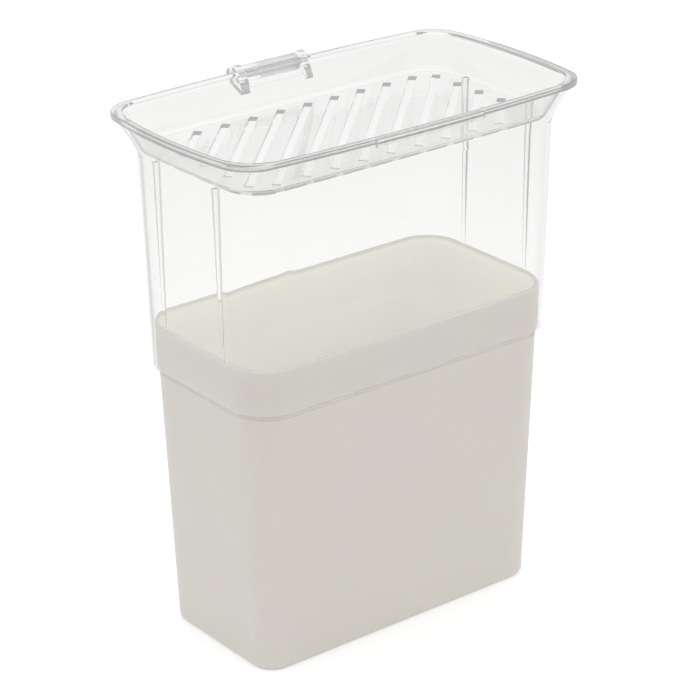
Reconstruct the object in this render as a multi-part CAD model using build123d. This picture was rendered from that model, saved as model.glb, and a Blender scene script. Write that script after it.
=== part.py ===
from build123d import *
import math
import os

# Herb keeper: an open bin, a clear sleeve that slides up on it, and a hinged strainer lid.
# Millimetres, +Z up. The origin is the middle of the bin's underside, the hinge side is +Y.
# A "half" is measured from the middle, at the middle of a side. Drafts are mm per mm of height.

# Bin: rounded rectangle underside, drafted walls, thicker band round the mouth
BIN_HALF_X = 80.0
BIN_HALF_Y = 38.8
BIN_CORNER = 11.65
BIN_HEIGHT = 152.8
BIN_DRAFT = 0.038
BIN_WALL = 1.8
BIN_FLOOR = 2.2
BIN_FOOT_ROUND = 2.5
BIN_INNER_ROUND = 3.0
BAND_HEIGHT = 22.1
BAND_STEP = 0.5
MOUTH_EDGE_ROUND = 0.6

# Sleeve: slides on the band, its hem hook catches below the band
SLEEVE_LENGTH = 121.1
SLEEVE_WALL = 1.6
SLEEVE_DRAFT = 0.027
SLIDE_CLEARANCE = 0.53
HOOK_THICK = 1.2
HOOK_GAP = 0.3
HOOK_CLEARANCE = 0.3
HEM_ROUND = 1.2

# Flare at the sleeve's top, spreading from the straight wall to a bowed rim
FLARE_DEPTH = 20.0
FLARE_SPREAD_X = 9.8
FLARE_SPREAD_Y = 7.46
FLARE_POWER = 1.35
FLARE_STEPS = 5
RIM_BOW_X = 5.4
RIM_BOW_Y = 3.8
RIM_CORNER = 17.2
LIP_THICK = 1.0
LIP_WIDTH = 1.9

# Guide ribs inside the short sides: they run on the band, and their tops carry the lid
RIB_OFFSET = 22.0
RIB_THICK = 2.5
RIB_CLEARANCE = 0.35
RIB_TOP_CLEARANCE = 0.2

# Lid: flange over the rim, dish with a flat floor, slots at 45 degrees
LID_THICK = 1.5
FLOOR_THICK = 2.0
LID_GAP = 0.2
LID_GROW = 0.5
WALL_LAP = 0.2
MOUTH_INSET_X = 2.9
MOUTH_INSET_Y = 1.9
DISH_MOUTH_CORNER = 21.0
DISH_FLOOR_CORNER = 14.0
DISH_DEPTH = 15.7
DISH_SLOPE = 0.6
DISH_MOUTH_ROUND = 2.4
DISH_FLOOR_ROUND = 3.5
DISH_STEPS = 3
SLOT_COUNT = 13
SLOT_WIDTH = 4.0
SLOT_STEP = 15.5
SLOT_MARGIN_X = 6.5
SLOT_MARGIN_Y = 5.1

# Thumb ledge at the middle of the lid's front edge
LEDGE_HALF = 30.0
LEDGE_REACH = 1.8
LEDGE_SKIRT = 3.6
LEDGE_CLEARANCE = 0.4

# Hinge: two ears on the sleeve, one barrel on the lid, one pin
HINGE_BEHIND_RIM = 2.1
HINGE_BELOW_TOP = 3.0
EAR_INNER = 15.9
EAR_THICK = 4.4
EAR_RADIUS = 4.8
EAR_FOOT_RADIUS = 1.0
EAR_FOOT_DROP = 6.8
EAR_FOOT_FORWARD = 5.9
EAR_CLEARANCE = 0.4
BARREL_RADIUS = 4.1
BARREL_END_GAP = 0.5
PIN_RADIUS = 2.3
PIN_RUNNING_FIT = 0.08
PIN_SEAT_FIT = 0.02
PIN_END_RECESS = 0.3
PIN_END_CHAMFER = 0.4
RIM_NOTCH_DEPTH = 7.5

# Heights that follow from the sizes above
BAND_BOTTOM = BIN_HEIGHT - BAND_HEIGHT
HEM = BAND_BOTTOM - HOOK_GAP - HOOK_THICK
LIP_TOP = HEM + SLEEVE_LENGTH
LIP_BOTTOM = LIP_TOP - LIP_THICK
TOP = LIP_TOP + LID_GAP + LID_THICK
FLARE_START = TOP - FLARE_DEPTH
DISH_UNDERSIDE = TOP - DISH_DEPTH - FLOOR_THICK
RIB_TOP = DISH_UNDERSIDE - RIB_TOP_CLEARANCE

# Half sizes that follow: the band at the bin's mouth, and the rim, which hugs the sleeve's wall line
BAND_REACH = BIN_DRAFT * BIN_HEIGHT + BAND_STEP
BAND_HALF_X = BIN_HALF_X + BAND_REACH
BAND_HALF_Y = BIN_HALF_Y + BAND_REACH
BAND_CORNER = BIN_CORNER + BAND_REACH
WALL_REACH = SLIDE_CLEARANCE + SLEEVE_WALL
RIM_REACH = WALL_REACH + SLEEVE_DRAFT * (TOP - BIN_HEIGHT)
RIM_HALF_X = BAND_HALF_X + RIM_REACH + FLARE_SPREAD_X
RIM_HALF_Y = BAND_HALF_Y + RIM_REACH + FLARE_SPREAD_Y

# Hinge axis, along X, behind the rim and below its top
HINGE_Y = RIM_HALF_Y + HINGE_BEHIND_RIM
HINGE_Z = TOP - HINGE_BELOW_TOP


def bowed_outline(half_x, half_y, bow_x, bow_y, corner):
    """Rounded rectangle whose sides bulge outward, so that they reach half_x and half_y midway."""
    end_x = half_x - bow_x
    end_y = half_y - bow_y

    def side(start, middle, end, bow):
        return ThreePointArc(start, middle, end) if bow > 0 else Line(start, end)

    sides = Curve() + [
        side((end_x, -end_y), (half_x, 0), (end_x, end_y), bow_x),
        side((end_x, end_y), (0, half_y), (-end_x, end_y), bow_y),
        side((-end_x, end_y), (-half_x, 0), (-end_x, -end_y), bow_x),
        side((-end_x, -end_y), (0, -half_y), (end_x, -end_y), bow_y),
    ]
    face = make_face(sides)
    return fillet(face.vertices(), corner)


def prism(bottom_z, top_z, outline):
    """Straight block on an outline, between two heights."""
    return extrude(Pos(0, 0, bottom_z) * outline, amount=top_z - bottom_z)


def drafted(bottom_z, top_z, section):
    """Block between two heights, where section(height) gives the outline at each end."""
    return loft([Pos(0, 0, z) * section(z) for z in (bottom_z, top_z)], ruled=True)


# Bin

def bin_section(grow):
    """Outline of the bin's outer wall at a height, grown by an amount."""
    def section(height):
        spread = BIN_DRAFT * height + grow
        return bowed_outline(BIN_HALF_X + spread, BIN_HALF_Y + spread, 0, 0, BIN_CORNER + spread)
    return section


def make_bin():
    """The bin: drafted shell with a rounded foot and a stepped band under its mouth."""
    shell = drafted(0, BIN_HEIGHT, bin_section(0))
    foot = shell.edges().group_by(Axis.Z)[0]
    shell = fillet(foot, BIN_FOOT_ROUND)
    shell += drafted(BAND_BOTTOM, BIN_HEIGHT, bin_section(BAND_STEP))
    hollow = drafted(BIN_FLOOR, BIN_HEIGHT + BIN_WALL, bin_section(-BIN_WALL))
    hollow = fillet(hollow.edges().group_by(Axis.Z)[0], BIN_INNER_ROUND)
    shell -= hollow
    mouth = shell.edges().group_by(Axis.Z)[-1]
    return fillet(mouth, MOUTH_EDGE_ROUND)


# Sleeve

def sleeve_section(inset, flare=0.0):
    """Outline of the sleeve at a height. flare is 0 on the straight wall and 1 at the rim."""
    def section(height):
        reach = WALL_REACH + SLEEVE_DRAFT * (height - BIN_HEIGHT) - inset
        wall_corner = BAND_CORNER + reach
        corner = wall_corner + flare * (RIM_CORNER - inset - wall_corner)
        return bowed_outline(
            BAND_HALF_X + reach + flare * FLARE_SPREAD_X,
            BAND_HALF_Y + reach + flare * FLARE_SPREAD_Y,
            flare * RIM_BOW_X,
            flare * RIM_BOW_Y,
            corner,
        )
    return section


def rim_outline(inset):
    """Outline of the rim, which the sleeve's lip and the lid's flange share."""
    return bowed_outline(RIM_HALF_X - inset, RIM_HALF_Y - inset, RIM_BOW_X, RIM_BOW_Y, RIM_CORNER - inset)


def flare_block(inset):
    """Solid of the flare between the straight wall and the lip's underside, inset by an amount."""
    depths = [
        FLARE_DEPTH + (TOP - LIP_BOTTOM - FLARE_DEPTH) * step / FLARE_STEPS
        for step in range(FLARE_STEPS + 1)
    ]
    sections = []
    for depth in depths:
        height = TOP - depth
        flare = (1 - depth / FLARE_DEPTH) ** FLARE_POWER
        sections.append(Pos(0, 0, height) * sleeve_section(inset, flare)(height))
    return loft(sections), sections[-1]


def guide_rib(side, offset):
    """One upright rib on a short side. Its free edge is upright, its root lies in the wall."""
    free_edge = BAND_HALF_X + RIB_CLEARANCE
    root = BAND_HALF_X + WALL_REACH - SLEEVE_WALL / 2
    root_top = root + SLEEVE_DRAFT * (RIB_TOP - BIN_HEIGHT)
    profile = Polyline(
        (free_edge, BIN_HEIGHT), (root, BIN_HEIGHT), (root_top, RIB_TOP), (free_edge, RIB_TOP), close=True
    )
    rib = extrude(Plane.XZ * make_face(profile), amount=RIB_THICK / 2, both=True)
    rib = Pos(0, offset, 0) * rib
    return rib if side > 0 else mirror(rib, Plane.YZ)


def across(start_x, end_x, profile):
    """Block along X on a profile drawn in Y and Z round the hinge axis."""
    return extrude(Plane.YZ.offset(start_x) * Pos(HINGE_Y, HINGE_Z) * profile, amount=end_x - start_x)


def hinge_ear(start_x):
    """Teardrop ear: round about the pin, tapering down and forward to the flare."""
    foot = Pos(-EAR_FOOT_FORWARD, -EAR_FOOT_DROP) * Circle(EAR_FOOT_RADIUS)
    profile = make_hull(Circle(EAR_RADIUS).edges() + foot.edges())
    return across(start_x, start_x + EAR_THICK, profile)


def make_sleeve():
    """The sleeve: drafted wall, hem hook, ribs, flare, lip, and the ears with a notch between."""
    sleeve = drafted(HEM, FLARE_START, sleeve_section(0))
    sleeve = fillet(sleeve.edges().group_by(Axis.Z)[0], HEM_ROUND)
    flare_outer, _ = flare_block(0)
    sleeve += flare_outer
    sleeve += prism(LIP_BOTTOM, LIP_TOP, rim_outline(0))
    # Hollow: hole in the hook, straight wall, flare, and the lip's opening that widens to the top
    hook_grow = HOOK_CLEARANCE + BIN_DRAFT * (BAND_BOTTOM - HEM)
    sleeve -= prism(HEM - HOOK_THICK, FLARE_START, bin_section(hook_grow)(HEM))
    sleeve -= drafted(HEM + HOOK_THICK, FLARE_START, sleeve_section(SLEEVE_WALL))
    flare_inner, flare_mouth = flare_block(SLEEVE_WALL)
    sleeve -= flare_inner
    sleeve -= loft([flare_mouth, Pos(0, 0, LIP_TOP) * rim_outline(LIP_WIDTH)], ruled=True)
    for side in (1, -1):
        for offset in (RIB_OFFSET, -RIB_OFFSET):
            sleeve += guide_rib(side, offset)
    notch_bottom = TOP - RIM_NOTCH_DEPTH
    notch = Box(2 * EAR_INNER, 2 * HINGE_Y, TOP - notch_bottom, align=(Align.CENTER, Align.MIN, Align.MIN))
    sleeve -= Pos(0, 0, notch_bottom) * notch
    sleeve += hinge_ear(EAR_INNER)
    sleeve += hinge_ear(-EAR_INNER - EAR_THICK)
    sleeve -= across(-EAR_INNER - EAR_THICK, EAR_INNER + EAR_THICK, Circle(PIN_RADIUS + PIN_SEAT_FIT))
    return sleeve


# Lid

def dish_profile():
    """Inset and depth of points down the dish's wall: rounded mouth, straight slope, rounded foot."""
    steepest = math.atan2(1, DISH_SLOPE)
    line_start = DISH_MOUTH_ROUND * (1 - math.cos(steepest))
    line_drop = DISH_DEPTH - DISH_FLOOR_ROUND * (1 - math.cos(steepest)) - line_start
    mouth_run = DISH_MOUTH_ROUND * math.sin(steepest)
    floor_inset = mouth_run + DISH_SLOPE * line_drop + DISH_FLOOR_ROUND * math.sin(steepest)
    shares = [step / DISH_STEPS for step in range(DISH_STEPS + 1)]
    points = []
    for share in shares[:-1]:
        angle = steepest * share
        points.append((DISH_MOUTH_ROUND * math.sin(angle), DISH_MOUTH_ROUND * (1 - math.cos(angle))))
    for share in shares[:-1]:
        points.append((mouth_run + DISH_SLOPE * line_drop * share, line_start + line_drop * share))
    for share in reversed(shares):
        angle = steepest * share
        inset = floor_inset - DISH_FLOOR_ROUND * math.sin(angle)
        points.append((inset, DISH_DEPTH - DISH_FLOOR_ROUND * (1 - math.cos(angle))))
    return points, floor_inset


def dish_block(grow, mouth_drop, floor_drop):
    """Solid of the dish's hollow, grown outward, and lowered by an amount at the mouth and at the floor."""
    points, floor_inset = dish_profile()
    mouth_x = RIM_HALF_X - MOUTH_INSET_X + grow
    mouth_y = RIM_HALF_Y - MOUTH_INSET_Y + grow
    sections = []
    for inset, depth in points:
        fade = 1 - inset / floor_inset
        corner = DISH_FLOOR_CORNER + fade * (DISH_MOUTH_CORNER - DISH_FLOOR_CORNER)
        outline = bowed_outline(
            mouth_x - inset, mouth_y - inset, fade * RIM_BOW_X, fade * RIM_BOW_Y, corner
        )
        drop = mouth_drop + (floor_drop - mouth_drop) * depth / DISH_DEPTH
        sections.append(Pos(0, 0, TOP - depth - drop) * outline)
    return loft(sections)


def drain_slot(number, reach_x, reach_y):
    """One slot on the line x - y = number * SLOT_STEP, which ends where the floor's margins start."""
    shift = number * SLOT_STEP
    first_x = max(-reach_x, shift - reach_y)
    last_x = min(reach_x, shift + reach_y)
    middle = (first_x + last_x) / 2
    slot = Rectangle((last_x - first_x) * math.sqrt(2), SLOT_WIDTH)
    slot = Pos(middle, middle - shift) * Rot(0, 0, 45) * slot
    return prism(DISH_UNDERSIDE - FLOOR_THICK, TOP, slot)


def make_lid():
    """The lid: flange, dish, slots, thumb ledge, hinge barrel, and notches round the ears."""
    lid = prism(TOP - LID_THICK, TOP, rim_outline(0))
    # Ledge: follows the rim's bow, with a skirt in front of the sleeve's lip
    front = Rectangle(2 * LEDGE_HALF, 2 * RIM_HALF_Y, align=(Align.CENTER, Align.MAX))
    ledge = front & (rim_outline(-LEDGE_REACH) - rim_outline(LIP_WIDTH))
    skirt = front & (rim_outline(-LEDGE_REACH) - rim_outline(-LEDGE_CLEARANCE))
    lid += prism(TOP - LID_THICK, TOP, ledge)
    lid += prism(TOP - LEDGE_SKIRT, TOP, skirt)
    lid += dish_block(LID_GROW, LID_THICK - WALL_LAP, FLOOR_THICK)
    lid -= dish_block(0, 0, 0)
    _, floor_inset = dish_profile()
    reach_x = RIM_HALF_X - MOUTH_INSET_X - floor_inset - SLOT_MARGIN_X
    reach_y = RIM_HALF_Y - MOUTH_INSET_Y - floor_inset - SLOT_MARGIN_Y
    for number in range(-(SLOT_COUNT // 2), SLOT_COUNT // 2 + 1):
        lid -= drain_slot(number, reach_x, reach_y)
    notch = Box(EAR_THICK + 2 * EAR_CLEARANCE, 2 * (EAR_RADIUS + EAR_CLEARANCE), 2 * EAR_RADIUS)
    for side in (1, -1):
        lid -= Pos(side * (EAR_INNER + EAR_THICK / 2), HINGE_Y, HINGE_Z) * notch
    barrel_half = EAR_INNER - BARREL_END_GAP
    barrel = across(-barrel_half, barrel_half, Circle(BARREL_RADIUS))
    lid += barrel
    lid -= across(-barrel_half, barrel_half, Circle(PIN_RADIUS + PIN_RUNNING_FIT))
    return lid


# Pin

def make_pin():
    """The hinge pin, a little shorter than the span over both ears."""
    pin_half = EAR_INNER + EAR_THICK - PIN_END_RECESS
    pin = across(-pin_half, pin_half, Circle(PIN_RADIUS))
    ends = pin.edges().filter_by(GeomType.CIRCLE)
    return chamfer(ends, PIN_END_CHAMFER)


os.makedirs("parts", exist_ok=True)
NODES = {
    "base_container": make_bin(),
    "telescoping_sleeve": make_sleeve(),
    "strainer_lid": make_lid(),
    "hinge_pin": make_pin(),
}
for node, solid in NODES.items():
    export_step(solid, os.path.join("parts", node + ".step"))
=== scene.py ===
import cmath
import math

import bmesh
import bpy
from mathutils import Matrix


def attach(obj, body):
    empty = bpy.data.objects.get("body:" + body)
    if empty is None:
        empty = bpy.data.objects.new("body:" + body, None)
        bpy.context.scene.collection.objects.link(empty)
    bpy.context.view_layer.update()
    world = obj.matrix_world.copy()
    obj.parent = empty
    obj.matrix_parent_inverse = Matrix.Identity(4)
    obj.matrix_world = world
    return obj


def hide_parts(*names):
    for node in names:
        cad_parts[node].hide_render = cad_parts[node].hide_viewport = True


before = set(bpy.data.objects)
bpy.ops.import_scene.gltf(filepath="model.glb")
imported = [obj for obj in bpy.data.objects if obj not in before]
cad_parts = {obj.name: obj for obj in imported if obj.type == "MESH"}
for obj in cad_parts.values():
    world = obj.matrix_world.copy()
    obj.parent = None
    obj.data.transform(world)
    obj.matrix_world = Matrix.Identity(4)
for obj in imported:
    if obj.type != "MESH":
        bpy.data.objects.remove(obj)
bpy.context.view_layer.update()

# Viewpoint: a long lens in front and to the left, looking a little down on the keeper.
# Place and turn were worked out from the outlines of the bin, the sleeve and the rim.
CAMERA_PLACE = (-0.69868, -0.89514, 0.62381)
CAMERA_TURN_RIGHT = math.radians(37.965)
CAMERA_TILT_DOWN = math.radians(23.632)
CAMERA_ROLL = math.radians(-0.653)
CAMERA_LENS_MM = 137.46
SENSOR_MM = 36.0
CAMERA_FAR = 50.0

camera_data = bpy.data.cameras.new("camera")
camera_data.lens = CAMERA_LENS_MM
camera_data.sensor_width = SENSOR_MM
camera_data.clip_end = CAMERA_FAR
camera = bpy.data.objects.new("camera", camera_data)
bpy.context.scene.collection.objects.link(camera)
camera.matrix_world = (
    Matrix.Translation(CAMERA_PLACE)
    @ Matrix.Rotation(-CAMERA_TURN_RIGHT, 4, "Z")
    @ Matrix.Rotation(math.radians(90) - CAMERA_TILT_DOWN, 4, "X")
    @ Matrix.Rotation(CAMERA_ROLL, 4, "Z")
)
bpy.context.scene.camera = camera
bpy.context.scene.view_settings.view_transform = "Standard"


# Studio: a white sweep with soft light from all round. The floor shows as plain white
# to the eye and through clear plastic, and still takes the keeper's faint shadow.
class Socket:
    """A node's socket that can be added, multiplied and so on, each as a Math node of its own."""

    def __init__(self, tree, socket):
        self.tree = tree
        self.socket = socket

    def maths(self, operation, *others, swap=False, clamp=False):
        node = self.tree.nodes.new("ShaderNodeMath")
        node.operation = operation
        node.use_clamp = clamp
        values = [self, *others]
        if swap:
            values.reverse()
        for place, value in zip(node.inputs, values):
            plug(self.tree, value, place)
        return Socket(self.tree, node.outputs[0])

    def __add__(self, other):
        return self.maths("ADD", other)

    def __sub__(self, other):
        return self.maths("SUBTRACT", other)

    def __rsub__(self, other):
        return self.maths("SUBTRACT", other, swap=True)

    def __mul__(self, other):
        return self.maths("MULTIPLY", other)

    def __truediv__(self, other):
        return self.maths("DIVIDE", other)

    def least(self, other):
        return self.maths("MINIMUM", other)

    def most(self, other):
        return self.maths("MAXIMUM", other)

    def clamped(self):
        return self.maths("ADD", 0.0, clamp=True)

    __radd__ = __add__
    __rmul__ = __mul__


def plug(tree, value, place):
    """Puts a number, a colour or another node's socket into an input."""
    if isinstance(value, Socket):
        tree.links.new(value.socket, place)
    else:
        place.default_value = value


class Nodes:
    """The nodes of a material, the world or a geometry group. One method adds any node."""

    def __init__(self, tree):
        self.tree = tree
        self.tree.nodes.clear()

    def add(self, kind, settings=None, inputs=None, out=0):
        node = self.tree.nodes.new(kind)
        for name, value in (settings or {}).items():
            setattr(node, name, value)
        for name, value in (inputs or {}).items():
            plug(self.tree, value, node.inputs[name])
        return Socket(self.tree, node.outputs[out]) if len(node.outputs) else None


def material(name):
    """An empty material and its nodes."""
    made = bpy.data.materials.new(name)
    made.use_nodes = True
    return made, Nodes(made.node_tree)


def stand(name, mesh):
    """An object with this mesh, at the origin of the scene."""
    made = bpy.data.objects.new(name, mesh)
    bpy.context.scene.collection.objects.link(made)
    return made


WHITE = (1, 1, 1, 1)
BLACK = (0, 0, 0, 1)
SKY_BRIGHT = 1.0
SKY_OVERHEAD = 0.6
SKY_DIM_RISE = 0.25
FLOOR_HALF = 4.0
FLOOR_DROP = 0.0002
FLOOR_CORNERS = ((-1, -1), (1, -1), (1, 1), (-1, 1))
FLOOR_WHITE = 0.85
FLOOR_GLOW = 0.08
FLOOR_GLOW_SEEN = 0.24
FLOOR_GLOW_THROUGH = 0.15
FLOOR_POOL = 0.25
FLOOR_POOL_EDGE = 0.6
CARD_START = 0.05
CARD_EDGE = 0.10
CARD_GREY = 0.35
CARD_STRENGTH = 0.5

# In mirror reflections the sky looks greyer overhead than it does near the horizon
world = bpy.data.worlds.new("studio")
bpy.context.scene.world = world
world.use_nodes = True
air = Nodes(world.node_tree)
mirrored = air.add("ShaderNodeLightPath", out="Is Reflection Ray") * air.add(
    "ShaderNodeLightPath", out="Is Glossy Ray")
heading = air.add("ShaderNodeTexCoord", out="Generated")
rise = air.add("ShaderNodeSeparateXYZ", inputs={"Vector": heading}, out="Z")
bright = air.add("ShaderNodeBackground", inputs={"Color": WHITE, "Strength": SKY_BRIGHT})
dimmed = air.add("ShaderNodeBackground", inputs={"Color": WHITE, "Strength": SKY_OVERHEAD})
sky = air.add("ShaderNodeMixShader", inputs={
    0: (rise / SKY_DIM_RISE).clamped() * mirrored, 1: bright, 2: dimmed})
air.add("ShaderNodeOutputWorld", inputs={"Surface": sky})

floor_mesh = bpy.data.meshes.new("floor")
floor_mesh.from_pydata(
    [(x * FLOOR_HALF, y * FLOOR_HALF, -FLOOR_DROP) for x, y in FLOOR_CORNERS], [], [(0, 1, 2, 3)])
floor = stand("floor", floor_mesh)
# Grey cards lie in front and at the left, out of view. Only rays that a clear edge turns see them.
sweep, paint = material("white_sweep")
matte = paint.add("ShaderNodeBsdfDiffuse", inputs={
    "Color": (FLOOR_WHITE, FLOOR_WHITE, FLOOR_WHITE, 1)})
seen = paint.add("ShaderNodeLightPath", out="Is Camera Ray")
through = paint.add("ShaderNodeLightPath", out="Is Transmission Ray")
glassy = through.most(paint.add("ShaderNodeLightPath", out="Is Glossy Ray"))
spot = paint.add("ShaderNodeTexCoord", out="Object")
away = paint.add("ShaderNodeVectorMath", {"operation": "LENGTH"}, {0: spot}, out="Value")
# Painted pool of light: near the keeper the floor glows brighter to rays turned by clear plastic or
# mirrored.
painted_light_pool = 1 - ((away - FLOOR_POOL) / FLOOR_POOL_EDGE).clamped()
level = FLOOR_GLOW + seen * FLOOR_GLOW_SEEN + glassy * painted_light_pool * FLOOR_GLOW_THROUGH
lit = paint.add("ShaderNodeMix", {"data_type": "RGBA"}, {
    "Factor": level, 6: BLACK, 7: WHITE}, out=2)
glow = paint.add("ShaderNodeEmission", inputs={"Color": lit, "Strength": 1.0})
both = paint.add("ShaderNodeAddShader", inputs={0: matte, 1: glow})
right = paint.add("ShaderNodeSeparateXYZ", inputs={"Vector": spot}, out="X")
rear = paint.add("ShaderNodeSeparateXYZ", inputs={"Vector": spot}, out="Y")
card = ((CARD_START - right.least(rear)) / CARD_EDGE).clamped() * through * CARD_STRENGTH
grey = paint.add("ShaderNodeEmission", inputs={"Color": WHITE, "Strength": CARD_GREY})
laid = paint.add("ShaderNodeMixShader", inputs={0: card, 1: both, 2: grey})
paint.add("ShaderNodeOutputMaterial", inputs={"Surface": laid})
floor_mesh.materials.append(sweep)


# Bin: one moulding in a frosted, slightly see-through off-white plastic. Its walls spread upward,
# its foot is rounded, and a thicker band runs round the mouth.
MM = 0.001
BIN_HALF_X = 80.0
BIN_HALF_Y = 38.8
BIN_CORNER = 11.65
BIN_HEIGHT = 152.8
BIN_DRAFT = 0.038
BIN_WALL = 1.8
BIN_FLOOR = 2.2
BIN_FOOT_ROUND = 2.5
BAND_HEIGHT = 22.1
BAND_STEP = 0.5
BAND_INNER_ROUND = 0.15
BAND_OUTER_ROUND = 0.2
BIN_MOUTH_ROUND = 0.7
BIN_FLOOR_ROUND = 3.0
FLAT_INSET = 9.0
BIN_COOL = (0.662, 0.634, 0.606)
BIN_WARM = (0.682, 0.662, 0.598)
BIN_INSIDE_PAINTED_GLOW = (0.905, 0.880, 0.790)
BIN_SHADE_AT_TOP = 0.85
BIN_BAND_PAINTED_LIGHT = 0.05
BIN_BAND_PAINTED_LIGHT_RISE = 0.5
BIN_GLOW_DEPTH = 0.006
BIN_INSIDE_START = 0.3
BIN_INSIDE_FADE = 1.5
BIN_LIP_SHADE = 0.13
BIN_LIP_DEPTH = 0.6
BIN_CLOUD_SCALE = 14.0
BIN_GRAIN_SCALE = 2400.0
BIN_GRAIN_RELIEF = 0.08
BIN_GRAIN_HEIGHT = 0.0001
BIN_ROUGHNESS = 0.46
BIN_ROUGHNESS_SPREAD = 0.1
SIDE_STEPS = 20
CORNER_STEPS = 18
LEAST_BOW = 0.001


def outline(half_x, half_y, bow_x, bow_y, corner):
    """Points x + y * 1j round a rounded rectangle whose sides bulge by bow_x and bow_y."""
    bow_x = max(bow_x, LEAST_BOW)
    bow_y = max(bow_y, LEAST_BOW)
    radius_x = ((half_y - bow_y) ** 2 + bow_x ** 2) / (2 * bow_x)
    radius_y = ((half_x - bow_x) ** 2 + bow_y ** 2) / (2 * bow_y)
    centre_x = complex(half_x - radius_x, 0)
    centre_y = complex(0, half_y - radius_y)
    # The corner's centre lies a known way from the centres of both sides' arcs
    span = centre_y - centre_x
    near = radius_x - corner
    far = radius_y - corner
    along = (near ** 2 - far ** 2 + abs(span) ** 2) / (2 * abs(span))
    centre = centre_x + span / abs(span) * complex(along, math.sqrt(near ** 2 - along ** 2))
    turn_x = cmath.phase(centre - centre_x)
    turn_y = cmath.phase(centre - centre_y)
    quarter = []
    for middle, radius, start, end, steps in (
        (centre_x, radius_x, 0, turn_x, SIDE_STEPS),
        (centre, corner, turn_x, turn_y, CORNER_STEPS),
        (centre_y, radius_y, turn_y, math.pi / 2, SIDE_STEPS),
    ):
        for step in range(steps):
            quarter.append(middle + cmath.rect(radius, start + (end - start) * step / steps))
    half = quarter + [complex(0, half_y)] + [-p.conjugate() for p in reversed(quarter[1:])]
    return half + [-p for p in half]


def rounded(*corners, steps=5):
    """Points x + z * 1j along a profile of corners (x, z, radius), each rounded by its radius."""
    points = []
    for index, (x, z, radius) in enumerate(corners):
        here = complex(x, z)
        if radius == 0:
            points.append(here)
            continue
        back = complex(*corners[index - 1][:2]) - here
        on = complex(*corners[index + 1][:2]) - here
        back /= abs(back)
        on /= abs(on)
        half_angle = abs(cmath.phase(on / back)) / 2
        middle = here + (back + on) / abs(back + on) * radius / math.sin(half_angle)
        start = here + back * radius / math.tan(half_angle) - middle
        turn = cmath.phase((here + on * radius / math.tan(half_angle) - middle) / start)
        points += [middle + start * cmath.rect(1, turn * step / steps) for step in range(steps + 1)]
    return points


def bridge(built, low, high):
    """Joins two loops of the same length with a belt of four-sided faces."""
    for index in range(len(low)):
        after = (index + 1) % len(low)
        built.faces.new((low[index], low[after], high[after], high[index]))


def hand_over(name, built):
    """An object made of the finished faces, all of them turned outward."""
    bmesh.ops.recalc_face_normals(built, faces=built.faces)
    mesh = bpy.data.meshes.new(name)
    built.to_mesh(mesh)
    built.free()
    return stand(name, mesh)


def skin(name, rings, closed=False):
    """Skin through rings of points in mm.

    A closed run joins its end to its start, and an open one is capped.
    """
    built = bmesh.new()
    loops = [
        [built.verts.new((p.real * MM, p.imag * MM, height * MM)) for p in ring]
        for ring, height in rings
    ]
    runs = list(zip(loops, loops[1:]))
    if closed:
        runs.append((loops[-1], loops[0]))
    else:
        built.faces.new(reversed(loops[0]))
        built.faces.new(loops[-1])
    for low, high in runs:
        bridge(built, low, high)
    return hand_over(name, built)


def smooth(piece, degrees=30):
    """Smooth shading, with sharp edges where faces meet at more than this angle."""
    piece.data.shade_smooth()
    piece.data.set_sharp_from_angle(angle=math.radians(degrees))


def bin_outline(reach):
    """Outline of the bin, reaching out from the outline of its underside."""
    return outline(BIN_HALF_X + reach, BIN_HALF_Y + reach, 0, 0, BIN_CORNER + reach)


BAND_BOTTOM = BIN_HEIGHT - BAND_HEIGHT
BAND_REACH = BIN_DRAFT * BIN_HEIGHT + BAND_STEP
bin_profile = rounded(
    (-FLAT_INSET, 0, 0),
    (0, 0, BIN_FOOT_ROUND),
    (BIN_DRAFT * BAND_BOTTOM, BAND_BOTTOM, BAND_INNER_ROUND),
    (BIN_DRAFT * BAND_BOTTOM + BAND_STEP, BAND_BOTTOM, BAND_OUTER_ROUND),
    (BAND_REACH, BIN_HEIGHT, BIN_MOUTH_ROUND),
    (BIN_DRAFT * BIN_HEIGHT - BIN_WALL, BIN_HEIGHT, BIN_MOUTH_ROUND),
    (BIN_DRAFT * BIN_FLOOR - BIN_WALL, BIN_FLOOR, BIN_FLOOR_ROUND),
    (-FLAT_INSET, BIN_FLOOR, 0),
)
frosted_bin = skin("frosted_bin", [(bin_outline(p.real), p.imag) for p in bin_profile])
smooth(frosted_bin)

# The inside is painted lighter and warmer than the outside: painted light for the light that
# gathers in the milky plastic. It starts just below the mouth, whose edge gets a little painted
# shade.
inside = frosted_bin.data.attributes.new("inside", "FLOAT", "POINT")
mouth_edge = max(range(len(bin_profile)), key=lambda index: bin_profile[index].imag)
ring_length = len(bin_outline(0))
for index, mark in enumerate(inside.data):
    if index // ring_length > mouth_edge:
        mark.value = 1.0

frosted, shade = material("milky_plastic")
where = shade.add("ShaderNodeTexCoord", out="Object")
height = shade.add("ShaderNodeSeparateXYZ", inputs={"Vector": where}, out="Z") / MM
below = ((BIN_HEIGHT - BIN_INSIDE_START - height) / BIN_INSIDE_FADE).clamped()
# Painted shade: the mouth's edge is painted darker.
lip_painted_shade = (1 - (BIN_HEIGHT - height) / BIN_LIP_DEPTH).clamped() * BIN_LIP_SHADE
# Painted light: share of the inside's painted glow.
inside_glow_share = shade.add("ShaderNodeAttribute", {"attribute_name": "inside"}, out="Fac") * below
cloud = shade.add("ShaderNodeTexNoise", inputs={
    "Vector": where, "Scale": BIN_CLOUD_SCALE, "Detail": 2.0}, out="Fac")
grain = shade.add("ShaderNodeTexNoise", inputs={
    "Vector": where, "Scale": BIN_GRAIN_SCALE, "Detail": 1.0}, out="Fac")
warmth = shade.add("ShaderNodeMix", {"data_type": "RGBA"}, {
    "Factor": cloud, 6: (*BIN_COOL, 1), 7: (*BIN_WARM, 1)}, out=2)
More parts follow.
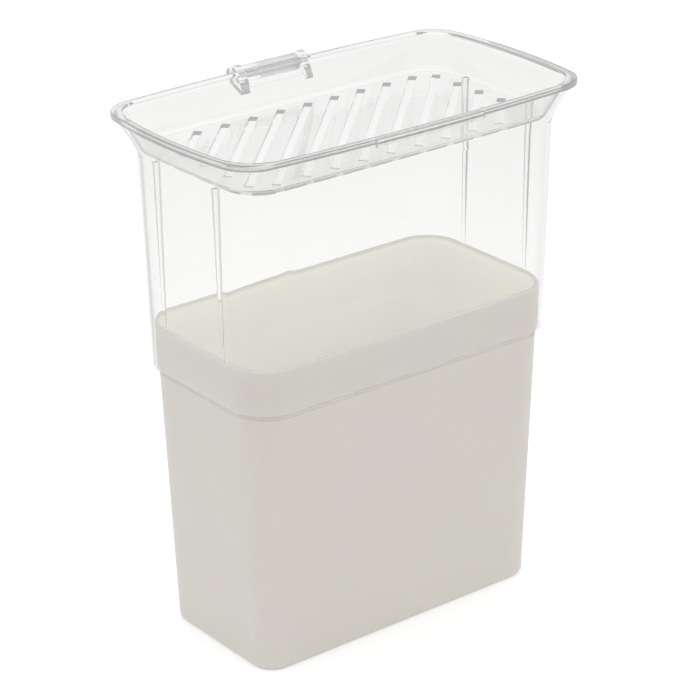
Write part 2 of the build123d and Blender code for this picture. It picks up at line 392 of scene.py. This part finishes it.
# Painted light and shade: the band is painted lighter, and the walls darker towards the top.
band_painted_light = ((height - BAND_BOTTOM) / BIN_BAND_PAINTED_LIGHT_RISE).clamped() * BIN_BAND_PAINTED_LIGHT
shading = (height / BIN_HEIGHT).clamped() * (1 - BIN_SHADE_AT_TOP)
tone_with_painted_light_and_shade = shade.add("ShaderNodeVectorMath", {"operation": "SCALE"}, {
    0: warmth, "Scale": 1 - shading + band_painted_light - lip_painted_shade})
colour = shade.add("ShaderNodeMix", {"data_type": "RGBA"}, {
    "Factor": inside_glow_share, 6: tone_with_painted_light_and_shade, 7: (*BIN_INSIDE_PAINTED_GLOW, 1)}, out=2)
relief = shade.add("ShaderNodeBump", inputs={
    "Strength": BIN_GRAIN_RELIEF, "Distance": BIN_GRAIN_HEIGHT, "Height": grain})
surface = shade.add("ShaderNodeBsdfPrincipled", inputs={
    "Base Color": colour,
    "Roughness": BIN_ROUGHNESS + grain * BIN_ROUGHNESS_SPREAD,
    "Normal": relief,
    "Subsurface Weight": 1.0,
    "Subsurface Radius": (1.0, 1.0, 1.0),
    "Subsurface Scale": BIN_GLOW_DEPTH,
})
shade.add("ShaderNodeOutputMaterial", inputs={"Surface": surface})
frosted_bin.data.materials.append(frosted)
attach(frosted_bin, "bin")
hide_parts("base_container")


# Sleeve: one clear moulding that slides on the bin's band. Its hem hooks under the band, ribs stand
# inside the short sides, its top flares out to a thin lip, and two ears at the rear hold the pin.
SLEEVE_LENGTH = 121.1
SLEEVE_WALL = 1.6
SLEEVE_DRAFT = 0.027
SLIDE_CLEARANCE = 0.53
HOOK_THICK = 1.2
HOOK_GAP = 0.3
HOOK_REACH = 2.53
HOOK_ROUND = 0.2
HEM_ROUND = 1.2
FLARE_DEPTH = 20.0
FLARE_SPREAD_X = 9.8
FLARE_SPREAD_Y = 7.46
FLARE_POWER = 1.35
FLARE_STEPS = 14
RIM_BOW_X = 5.4
RIM_BOW_Y = 3.8
RIM_CORNER = 17.2
LIP_THICK = 1.0
LIP_WIDTH = 1.9
LIP_ROUND = 0.25
LIP_GROOVE_ROUND = 0.08
LIP_UNDER = 2.0
LIP_OVERRUN = 1.0
LIP_SLOPE_DROP = 1.2
LID_GAP = 0.2
LID_THICK = 1.5
RIB_OFFSET = 22.0
RIB_THICK = 2.5
RIB_CLEARANCE = 0.35
RIB_TOP_CLEARANCE = 0.2
EAR_INNER = 15.9
EAR_THICK = 4.4
EAR_RADIUS = 4.8
EAR_FOOT_RADIUS = 1.0
EAR_FOOT = complex(-5.9, -6.8)
HINGE_BEHIND_RIM = 2.1
HINGE_BELOW_TOP = 3.0
PIN_RADIUS = 2.3
EAR_FIT = 0.02
BORE_HALF = 30.0
RIM_NOTCH_DEPTH = 7.5
NOTCH_OVERRUN = 5.0
SLEEVE_TINT = (0.985, 0.985, 0.98)
PLASTIC_IOR = 1.49
UNBENT_TINT = (0.97, 0.97, 0.97, 1)
TRAPPED_RAY_PAINTED_GLOW = 0.47
TURNS_BEFORE_LOST = 2.5
STEPS_BEFORE_LOST = 9.5
FLOW_SHADE = 0.99
FLOW_SCALE = 9.0
SATIN_GREY = (0.95, 0.95, 0.96)
SATIN_ROUGHNESS = 0.45
HEM_FAINT = 0.92
HEM_FAINT_TOP = 2.8
HEM_FAINT_FADE = 0.3
RIPPLE = 0.07
RIPPLE_SCALE = 45.0
RIPPLE_HEIGHT = 0.0004
RIM_EDGE_PAINTED_SHADE = (0.70, 0.70, 0.69)
RIM_EDGE_REACH = 1.0
RIM_EDGE_REAR = 20.0
RIM_EDGE_BELOW = 0.1
DISH_DEPTH = 15.7
FLOOR_THICK = 2.0

HEM = BAND_BOTTOM - HOOK_GAP - HOOK_THICK
LIP_TOP = HEM + SLEEVE_LENGTH
LIP_BOTTOM = LIP_TOP - LIP_THICK
TOP = LIP_TOP + LID_GAP + LID_THICK
FLARE_START = TOP - FLARE_DEPTH
DISH_UNDERSIDE = TOP - DISH_DEPTH - FLOOR_THICK
RIB_TOP = DISH_UNDERSIDE - RIB_TOP_CLEARANCE
RIM_REACH = BAND_REACH + SLIDE_CLEARANCE + SLEEVE_WALL + SLEEVE_DRAFT * (TOP - BIN_HEIGHT)
RIM_HALF_X = BIN_HALF_X + RIM_REACH + FLARE_SPREAD_X
RIM_HALF_Y = BIN_HALF_Y + RIM_REACH + FLARE_SPREAD_Y
HINGE_Y = RIM_HALF_Y + HINGE_BEHIND_RIM
HINGE_Z = TOP - HINGE_BELOW_TOP


def sleeve_ring(inset, height, flare=0.0):
    """Ring round the sleeve, inset from its outside. flare is 0 on the wall, 1 at the rim."""
    reach = RIM_REACH - SLEEVE_DRAFT * (TOP - height) - inset
    corner = BIN_CORNER + reach
    corner += flare * (RIM_CORNER - inset - corner)
    around = outline(
        BIN_HALF_X + reach + flare * FLARE_SPREAD_X,
        BIN_HALF_Y + reach + flare * FLARE_SPREAD_Y,
        flare * RIM_BOW_X,
        flare * RIM_BOW_Y,
        corner,
    )
    return around, height


def rim_outline(inset):
    """Outline of the rim, which the sleeve's lip and the lid's flange share."""
    return outline(
        RIM_HALF_X - inset, RIM_HALF_Y - inset, RIM_BOW_X, RIM_BOW_Y, RIM_CORNER - inset)


def flare_rings(inset):
    """Rings up the flare, from the straight wall to the lip's underside."""
    rings = []
    for step in range(FLARE_STEPS + 1):
        height = FLARE_START + (LIP_BOTTOM - FLARE_START) * step / FLARE_STEPS
        flare = (1 - (TOP - height) / FLARE_DEPTH) ** FLARE_POWER
        rings.append(sleeve_ring(inset, height, flare))
    return rings


def keep_mesh(piece):
    """Gives a piece the mesh that its modifiers make, and removes them."""
    worked_out = piece.evaluated_get(bpy.context.evaluated_depsgraph_get())
    mesh = bpy.data.meshes.new_from_object(worked_out)
    piece.modifiers.clear()
    piece.data = mesh


def combine(piece, tool, operation):
    """Joins a tool to a piece or cuts it away, and deletes the tool."""
    step = piece.modifiers.new(operation, "BOOLEAN")
    step.operation = operation
    step.solver = "EXACT"
    step.object = tool
    keep_mesh(piece)
    bpy.data.objects.remove(tool)


def block(name, corners, along, start, end):
    """Prism on a closed profile of points a + b * 1j, standing along the X or Y axis, in mm."""
    built = bmesh.new()
    loops = []
    for level in (start, end):
        loop = []
        for point in corners:
            a, b = point.real, point.imag
            place = {"X": (level, a, b), "Y": (a, level, b)}[along]
            loop.append(built.verts.new([value * MM for value in place]))
        loops.append(loop)
    built.faces.new(loops[0])
    built.faces.new(loops[1])
    bridge(built, *loops)
    return hand_over(name, built)


def disc(radius, steps=48):
    """Points round the hinge axis."""
    hinge = complex(HINGE_Y, HINGE_Z)
    return [hinge + cmath.rect(radius, math.tau * step / steps) for step in range(steps)]


def teardrop(steps=28, foot_steps=4):
    """Points round an ear: an arc about the pin, straight flanks, and a small arc at the foot."""
    hinge = complex(HINGE_Y, HINGE_Z)
    lean = cmath.phase(EAR_FOOT)
    spread = math.acos((EAR_RADIUS - EAR_FOOT_RADIUS) / abs(EAR_FOOT))
    points = []
    for step in range(steps + 1):
        angle = lean + spread + (math.tau - 2 * spread) * step / steps
        points.append(hinge + cmath.rect(EAR_RADIUS, angle))
    for step in range(foot_steps + 1):
        angle = lean - spread + 2 * spread * step / foot_steps
        points.append(hinge + EAR_FOOT + cmath.rect(EAR_FOOT_RADIUS, angle))
    return points


lip_outside = [(rim_outline(p.real), p.imag) for p in rounded(
    (LIP_UNDER, LIP_BOTTOM, 0),
    (0, LIP_BOTTOM, LIP_ROUND),
    (0, LIP_TOP, LIP_GROOVE_ROUND),
    (LIP_WIDTH, LIP_TOP, LIP_ROUND),
    (LIP_WIDTH + LIP_OVERRUN, LIP_TOP - LIP_SLOPE_DROP, 0),
)[1:-1]]
hem_rings = [sleeve_ring(p.real, p.imag) for p in rounded(
    (HOOK_REACH, HEM + HOOK_THICK, 0),
    (HOOK_REACH, HEM, HOOK_ROUND),
    (0, HEM, HEM_ROUND),
    (0, BIN_HEIGHT, 0),
)]
clear_sleeve = skin("clear_sleeve", [
    *hem_rings,
    *flare_rings(0),
    *lip_outside,
    *reversed(flare_rings(SLEEVE_WALL)),
    sleeve_ring(SLEEVE_WALL, BIN_HEIGHT),
    sleeve_ring(SLEEVE_WALL, HEM + HOOK_THICK),
], closed=True)


def mark_rim_edge_painted_shade(piece):
    """Marks the rim's outer edge at the front and sides for painted shade, where the plastic looks
    deepest.
    """
    edge = rim_outline(0)
    marks = piece.data.attributes.new("rim_edge", "FLOAT", "POINT").data
    for mark, vertex in zip(marks, piece.data.vertices):
        x, y, z = vertex.co / MM
        if z <= LIP_BOTTOM - RIM_EDGE_BELOW or y >= RIM_EDGE_REAR:
            continue
        if min(abs(complex(x, y) - p) for p in edge) < RIM_EDGE_REACH:
            mark.value = 1.0


def clear_plastic(name, tint, satin=None, faint=None):
    """Clear moulded plastic. Soft light passes straight through, so that what is behind isn't dark.

    satin(x, y, z) says where its surface is matt, and faint(x, y, z) where its edges hardly show.
    Rays that are caught inside it end as an even grey glow, painted light in place of the light
    they would carry out.
    """
    made, shade = material(name)
    where = shade.add("ShaderNodeTexCoord", out="Object")
    x, y, z = [
        shade.add("ShaderNodeSeparateXYZ", inputs={"Vector": where}, out=axis) / MM
        for axis in "XYZ"
    ]
    matt = satin(x, y, z) if satin else 0.0
    flow = shade.add("ShaderNodeTexNoise", inputs={
        "Vector": where, "Scale": FLOW_SCALE, "Detail": 1.0}, out="Fac")
    colour = shade.add("ShaderNodeMix", {"data_type": "RGBA"}, {
        "Factor": flow, 6: (*tint, 1), 7: (*[part * FLOW_SHADE for part in tint], 1)}, out=2)
    # Painted shade: the marked rim edge is painted grey, at the front and sides but not at the
    # rear.
    rim_painted_shade_mask = shade.add("ShaderNodeAttribute", {"attribute_name": "rim_edge"}, out="Fac")
    colour = shade.add("ShaderNodeMix", {"data_type": "RGBA"}, {
        "Factor": rim_painted_shade_mask, 6: colour, 7: (*RIM_EDGE_PAINTED_SHADE, 1)}, out=2)
    ripple = shade.add("ShaderNodeTexNoise", inputs={
        "Vector": where, "Scale": RIPPLE_SCALE, "Detail": 0.0}, out="Fac")
    relief = shade.add("ShaderNodeBump", inputs={
        "Strength": RIPPLE, "Distance": RIPPLE_HEIGHT, "Height": ripple})
    if satin:
        colour = shade.add("ShaderNodeMix", {"data_type": "RGBA"}, {
            "Factor": matt, 6: colour, 7: (*SATIN_GREY, 1)}, out=2)
    surface = shade.add("ShaderNodeBsdfPrincipled", inputs={
        "Base Color": colour,
        "Roughness": matt * SATIN_ROUGHNESS,
        "Normal": relief,
        "IOR": PLASTIC_IOR,
        "Transmission Weight": 1.0,
    })
    unbent = shade.add("ShaderNodeBsdfTransparent", inputs={"Color": UNBENT_TINT})
    if faint:
        surface = shade.add("ShaderNodeMixShader", inputs={
            0: faint(x, y, z), 1: surface, 2: unbent})
    # Painted light: a ray lost inside the plastic glows an even grey instead of going black.
    trapped_ray_glow = shade.add("ShaderNodeEmission", inputs={"Color": WHITE, "Strength": TRAPPED_RAY_PAINTED_GLOW})
    bounce = shade.add("ShaderNodeLightPath", out="Is Diffuse Ray")
    shadow = shade.add("ShaderNodeLightPath", out="Is Shadow Ray")
    turns = shade.add("ShaderNodeLightPath", out="Glossy Depth")
    steps = shade.add("ShaderNodeLightPath", out="Ray Depth")
    lost = turns.maths("GREATER_THAN", TURNS_BEFORE_LOST).most(
        steps.maths("GREATER_THAN", STEPS_BEFORE_LOST))
    seen = shade.add("ShaderNodeMixShader", inputs={0: lost, 1: surface, 2: trapped_ray_glow})
    soft = shade.add("ShaderNodeMixShader", inputs={0: bounce, 1: seen, 2: unbent})
    shade.add("ShaderNodeOutputMaterial", inputs={
        "Surface": shade.add("ShaderNodeMixShader", inputs={0: shadow, 1: soft, 2: unbent}),
    })
    return made


rib_edge = BIN_HALF_X + BAND_REACH + RIB_CLEARANCE
rib_root = BIN_HALF_X + BAND_REACH + SLIDE_CLEARANCE + SLEEVE_WALL / 2
rib_root_top = rib_root + SLEEVE_DRAFT * (RIB_TOP - BIN_HEIGHT)
ribs = block("ribs", [
    complex(rib_edge, BIN_HEIGHT),
    complex(rib_root, BIN_HEIGHT),
    complex(rib_root_top, RIB_TOP),
    complex(rib_edge, RIB_TOP),
], "Y", -RIB_THICK / 2, RIB_THICK / 2)


def guide_ribs(finish):
    """Geometry group that sets a rib at both sides of each end wall."""
    group = bpy.data.node_groups.new("guide_ribs", "GeometryNodeTree")
    group.interface.new_socket("Rib", in_out="INPUT", socket_type="NodeSocketGeometry")
    group.interface.new_socket("Offset", in_out="INPUT", socket_type="NodeSocketFloat")
    group.interface.new_socket("Geometry", in_out="OUTPUT", socket_type="NodeSocketGeometry")
    tree = Nodes(group)
    entry = group.nodes.new("NodeGroupInput")
    # Ribs 0 and 1 stand at one end, 2 and 3 at the other. flank is -1 or 1.
    number = tree.add("GeometryNodeInputIndex")
    end = (number / 2).maths("FLOOR")
    flank = (number - end * 2) * 2 - 1
    offset = Socket(group, entry.outputs["Offset"])
    place = tree.add("ShaderNodeCombineXYZ", inputs={"Y": flank * offset})
    turn = tree.add("ShaderNodeCombineXYZ", inputs={"Z": end * math.pi})
    points = tree.add("GeometryNodePoints", inputs={"Count": 4, "Position": place})
    ribs_set = tree.add("GeometryNodeInstanceOnPoints", inputs={
        "Points": points,
        "Instance": Socket(group, entry.outputs["Rib"]),
        "Rotation": turn,
    })
    solid = tree.add("GeometryNodeRealizeInstances", inputs={"Geometry": ribs_set})
    painted = tree.add("GeometryNodeSetMaterial", inputs={"Geometry": solid, "Material": finish})
    tree.add("NodeGroupOutput", inputs={"Geometry": painted})
    return group


def grow(piece, group, values):
    """Runs a geometry group on a piece with these input values, and keeps the mesh it makes."""
    step = piece.modifiers.new(group.name, "NODES")
    step.node_group = group
    for entry in group.interface.items_tree:
        if entry.in_out == "INPUT" and entry.name in values:
            step[entry.identifier] = values[entry.name]
    keep_mesh(piece)


def near_hem(x, y, z):
    """How far the surface near the hem is see-through.

    It changes over a very short height, because a half see-through surface shows as a pale line.
    """
    return ((HEM + HEM_FAINT_TOP - z) / HEM_FAINT_FADE).clamped() * HEM_FAINT


sleeve_plastic = clear_plastic("sleeve_plastic", SLEEVE_TINT, faint=near_hem)
grow(ribs, guide_ribs(sleeve_plastic), {"Offset": RIB_OFFSET * MM})
combine(clear_sleeve, ribs, "UNION")

notch_corners = [
    complex(0, TOP - RIM_NOTCH_DEPTH),
    complex(2 * HINGE_Y, TOP - RIM_NOTCH_DEPTH),
    complex(2 * HINGE_Y, TOP + NOTCH_OVERRUN),
    complex(0, TOP + NOTCH_OVERRUN),
]
EAR_SPANS = ((EAR_INNER, EAR_INNER + EAR_THICK), (-EAR_INNER - EAR_THICK, -EAR_INNER))
combine(clear_sleeve, block("notch", notch_corners, "X", -EAR_INNER, EAR_INNER), "DIFFERENCE")
for low, high in EAR_SPANS:
    combine(clear_sleeve, block("ear", teardrop(), "X", low, high), "UNION")
bore = block("bore", disc(PIN_RADIUS + EAR_FIT), "X", -BORE_HALF, BORE_HALF)
combine(clear_sleeve, bore, "DIFFERENCE")
smooth(clear_sleeve)
mark_rim_edge_painted_shade(clear_sleeve)
clear_sleeve.data.materials.clear()
clear_sleeve.data.materials.append(sleeve_plastic)
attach(clear_sleeve, "sleeve")
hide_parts("telescoping_sleeve")


# Hinge pin: a short rod in pale grey plastic, chamfered at both ends. It is pushed through the
# sleeve's two ears and the lid's barrel, and shows through them as a light core.
PIN_LIGHT = (0.86, 0.86, 0.87)
PIN_DARK = (0.80, 0.80, 0.81)
PIN_GRAIN_SCALE = 900.0
PIN_ROUGHNESS = 0.4
PIN_ROUGHNESS_SPREAD = 0.1

pin_plastic, shade = material("pin_plastic")
where = shade.add("ShaderNodeTexCoord", out="Object")
turned = shade.add("ShaderNodeTexNoise", inputs={
    "Vector": where, "Scale": PIN_GRAIN_SCALE, "Detail": 1.0}, out="Fac")
colour = shade.add("ShaderNodeMix", {"data_type": "RGBA"}, {
    "Factor": turned, 6: (*PIN_LIGHT, 1), 7: (*PIN_DARK, 1)}, out=2)
surface = shade.add("ShaderNodeBsdfPrincipled", inputs={
    "Base Color": colour,
    "Roughness": PIN_ROUGHNESS + turned * PIN_ROUGHNESS_SPREAD,
})
shade.add("ShaderNodeOutputMaterial", inputs={"Surface": surface})
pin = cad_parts["hinge_pin"]
pin.data.materials.clear()
pin.data.materials.append(pin_plastic)


# Lid: one clear moulding. A flange covers the sleeve's rim, and a dish hangs inside it, with
# slanting drain slots in its flat floor. A thumb ledge stands out in front, and a barrel takes
# the pin at the rear.
LID_TINT = (0.98, 0.98, 0.975)
LID_WALL = 0.5
WALL_LAP = 0.2
MOUTH_INSET_X = 2.9
MOUTH_INSET_Y = 1.9
DISH_MOUTH_CORNER = 21.0
DISH_FLOOR_CORNER = 14.0
DISH_SLOPE = 0.6
DISH_MOUTH_ROUND = 2.4
DISH_FLOOR_ROUND = 3.5
DISH_STEPS = 8
FLANGE_ROUND = 0.5
FLANGE_START = 2.0
SLOT_COUNT = 13
SLOT_WIDTH = 4.0
SLOT_STEP = 15.5
SLOT_SLANT = 45
SLOT_MARGIN_X = 6.5
SLOT_MARGIN_Y = 5.1
LEDGE_HALF = 30.0
LEDGE_REACH = 1.8
LEDGE_SKIRT = 3.6
LEDGE_CLEARANCE = 0.4
LEDGE_TOP_ROUND = 0.6
LEDGE_FRONT_ROUND = 0.4
LEDGE_INNER_ROUND = 0.3
LEDGE_STEPS = 24
EAR_CLEARANCE = 0.4
BARREL_RADIUS = 4.1
BARREL_SATIN_START = -7.0
BARREL_SATIN_FADE = 0.5
BARREL_SATIN_MARGIN = 0.2
BARREL_SATIN_EDGE = 0.1
BARREL_END_GAP = 0.5
BARREL_BORE_OVERRUN = 1.0
PIN_RUNNING_FIT = 0.08


def dish_profile():
    """Inset + depth * 1j of points down the dish's wall, and the inset where its floor starts."""
    steepest = math.atan2(1, DISH_SLOPE)
    line_start = DISH_MOUTH_ROUND * (1 - math.cos(steepest))
    line_drop = DISH_DEPTH - DISH_FLOOR_ROUND * (1 - math.cos(steepest)) - line_start
    mouth_run = DISH_MOUTH_ROUND * math.sin(steepest)
    floor_inset = mouth_run + DISH_SLOPE * line_drop + DISH_FLOOR_ROUND * math.sin(steepest)
    points = []
    for step in range(DISH_STEPS + 1):
        angle = steepest * step / DISH_STEPS
        inset = DISH_MOUTH_ROUND * math.sin(angle)
        points.append(complex(inset, DISH_MOUTH_ROUND * (1 - math.cos(angle))))
    for step in range(DISH_STEPS + 1):
        angle = steepest * (1 - step / DISH_STEPS)
        inset = floor_inset - DISH_FLOOR_ROUND * math.sin(angle)
        points.append(complex(inset, DISH_DEPTH - DISH_FLOOR_ROUND * (1 - math.cos(angle))))
    return points, floor_inset


DISH_POINTS, FLOOR_INSET = dish_profile()


def dish_rings(outward, mouth_drop, floor_drop):
    """Rings down the dish's wall, moved outward, and lowered at its mouth and at its floor."""
    rings = []
    for point in DISH_POINTS:
        fade = 1 - point.real / FLOOR_INSET
        around = outline(
            RIM_HALF_X - MOUTH_INSET_X + outward - point.real,
            RIM_HALF_Y - MOUTH_INSET_Y + outward - point.real,
            fade * RIM_BOW_X,
            fade * RIM_BOW_Y,
            DISH_FLOOR_CORNER + fade * (DISH_MOUTH_CORNER - DISH_FLOOR_CORNER),
        )
        drop = mouth_drop + (floor_drop - mouth_drop) * point.imag / DISH_DEPTH
        rings.append((around, TOP - point.imag - drop))
    return rings


flange_edge = [(rim_outline(p.real), p.imag) for p in rounded(
    (FLANGE_START, TOP, 0),
    (0, TOP, FLANGE_ROUND),
    (0, TOP - LID_THICK, LIP_GROOVE_ROUND),
    (FLANGE_START, TOP - LID_THICK, 0),
)[1:-1]]
outer_wall = [
    ring for ring in dish_rings(LID_WALL, LID_THICK - WALL_LAP, FLOOR_THICK)
    if ring[1] < TOP - LID_THICK
]
strainer = skin("strainer", [
    *reversed(dish_rings(0, 0, 0)),
    *flange_edge,
    (outer_wall[0][0], TOP - LID_THICK),
    *outer_wall,
])


def barrel_satin(x, y, z):
    """1 on the hinge barrel except near its left end, 0 elsewhere."""
    across = y - HINGE_Y
    up = z - HINGE_Z
    away = (across * across + up * up).maths("SQRT")
    round_axis = ((BARREL_RADIUS + BARREL_SATIN_MARGIN - away) / BARREL_SATIN_EDGE).clamped()
    return round_axis * ((x - BARREL_SATIN_START) / BARREL_SATIN_FADE).clamped()


lid_plastic = clear_plastic("lid_plastic", LID_TINT, satin=barrel_satin)


def drain_slots(finish):
    """Geometry group that lays a row of slanting bars, as long as the floor's margins allow."""
    group = bpy.data.node_groups.new("drain_slots", "GeometryNodeTree")
    group.interface.new_socket("Count", in_out="INPUT", socket_type="NodeSocketInt")
    lengths = ("Step", "Width", "Height", "Level", "Reach X", "Reach Y")
    for name in lengths:
        group.interface.new_socket(name, in_out="INPUT", socket_type="NodeSocketFloat")
    group.interface.new_socket("Geometry", in_out="OUTPUT", socket_type="NodeSocketGeometry")
    tree = Nodes(group)
    entry = group.nodes.new("NodeGroupInput")
    count, step, width, height, level, reach_x, reach_y = [
        Socket(group, entry.outputs[name]) for name in ("Count", *lengths)
    ]
    shift = (tree.add("GeometryNodeInputIndex") - (count - 1) * 0.5) * step
    first = (shift - reach_y).most(0 - reach_x)
    last = (shift + reach_y).least(reach_x)
    middle = (first + last) * 0.5
    place = tree.add("ShaderNodeCombineXYZ", inputs={
        "X": middle, "Y": middle - shift, "Z": level})
    points = tree.add("GeometryNodePoints", inputs={"Count": count, "Position": place})
    length = (last - first) * math.sqrt(2)
    size = tree.add("ShaderNodeCombineXYZ", inputs={"X": length, "Y": width, "Z": height})
    bars = tree.add("GeometryNodeInstanceOnPoints", inputs={
        "Points": points,
        "Instance": tree.add("GeometryNodeMeshCube"),
        "Rotation": (0, 0, math.radians(SLOT_SLANT)),
        "Scale": size,
    })
    solid = tree.add("GeometryNodeRealizeInstances", inputs={"Geometry": bars})
    painted = tree.add("GeometryNodeSetMaterial", inputs={"Geometry": solid, "Material": finish})
    tree.add("NodeGroupOutput", inputs={"Geometry": painted})
    return group


slots = stand("slots", bpy.data.meshes.new("slots"))
grow(slots, drain_slots(lid_plastic), {
    "Count": SLOT_COUNT,
    "Step": SLOT_STEP * MM,
    "Width": SLOT_WIDTH * MM,
    "Height": 4 * FLOOR_THICK * MM,
    "Level": DISH_UNDERSIDE * MM,
    "Reach X": (RIM_HALF_X - MOUTH_INSET_X - FLOOR_INSET - SLOT_MARGIN_X) * MM,
    "Reach Y": (RIM_HALF_Y - MOUTH_INSET_Y - FLOOR_INSET - SLOT_MARGIN_Y) * MM,
})
combine(strainer, slots, "DIFFERENCE")

# Ledge: a strip that follows the rim's bow at the front, with a skirt down in front of the lip
bow_radius = ((RIM_HALF_X - RIM_BOW_X) ** 2 + RIM_BOW_Y ** 2) / (2 * RIM_BOW_Y)
ledge_section = rounded(
    (-LIP_WIDTH, TOP, 0),
    (LEDGE_REACH, TOP, LEDGE_TOP_ROUND),
    (LEDGE_REACH, TOP - LEDGE_SKIRT, LEDGE_FRONT_ROUND),
    (LEDGE_CLEARANCE, TOP - LEDGE_SKIRT, LEDGE_INNER_ROUND),
    (LEDGE_CLEARANCE, TOP - LID_THICK, 0),
    (-LIP_WIDTH, TOP - LID_THICK, 0),
)
built = bmesh.new()
loops = []
for step in range(LEDGE_STEPS + 1):
    turn = math.asin(LEDGE_HALF / bow_radius) * (2 * step / LEDGE_STEPS - 1)
    loops.append([built.verts.new((
        (bow_radius + p.real) * math.sin(turn) * MM,
        (bow_radius - RIM_HALF_Y - (bow_radius + p.real) * math.cos(turn)) * MM,
        p.imag * MM,
    )) for p in ledge_section])
for one, other in zip(loops, loops[1:]):
    bridge(built, one, other)
built.faces.new(loops[0])
built.faces.new(loops[-1])
combine(strainer, hand_over("ledge", built), "UNION")

# Hinge: room in the flange for the sleeve's ears, and the barrel between them
ear_notch = [
    complex(HINGE_Y + y * (EAR_RADIUS + EAR_CLEARANCE), HINGE_Z + z * EAR_RADIUS)
    for y, z in ((-1, -1), (1, -1), (1, 1), (-1, 1))
]
for low, high in EAR_SPANS:
    notch = block("ear_notch", ear_notch, "X", low - EAR_CLEARANCE, high + EAR_CLEARANCE)
    combine(strainer, notch, "DIFFERENCE")
barrel_half = EAR_INNER - BARREL_END_GAP
barrel = block("barrel", disc(BARREL_RADIUS), "X", -barrel_half, barrel_half)
combine(strainer, barrel, "UNION")
bore_half = barrel_half + BARREL_BORE_OVERRUN
bore = block("barrel_bore", disc(PIN_RADIUS + PIN_RUNNING_FIT), "X", -bore_half, bore_half)
combine(strainer, bore, "DIFFERENCE")
smooth(strainer)
mark_rim_edge_painted_shade(strainer)

strainer.data.materials.clear()
strainer.data.materials.append(lid_plastic)
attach(strainer, "lid")
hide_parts("strainer_lid")
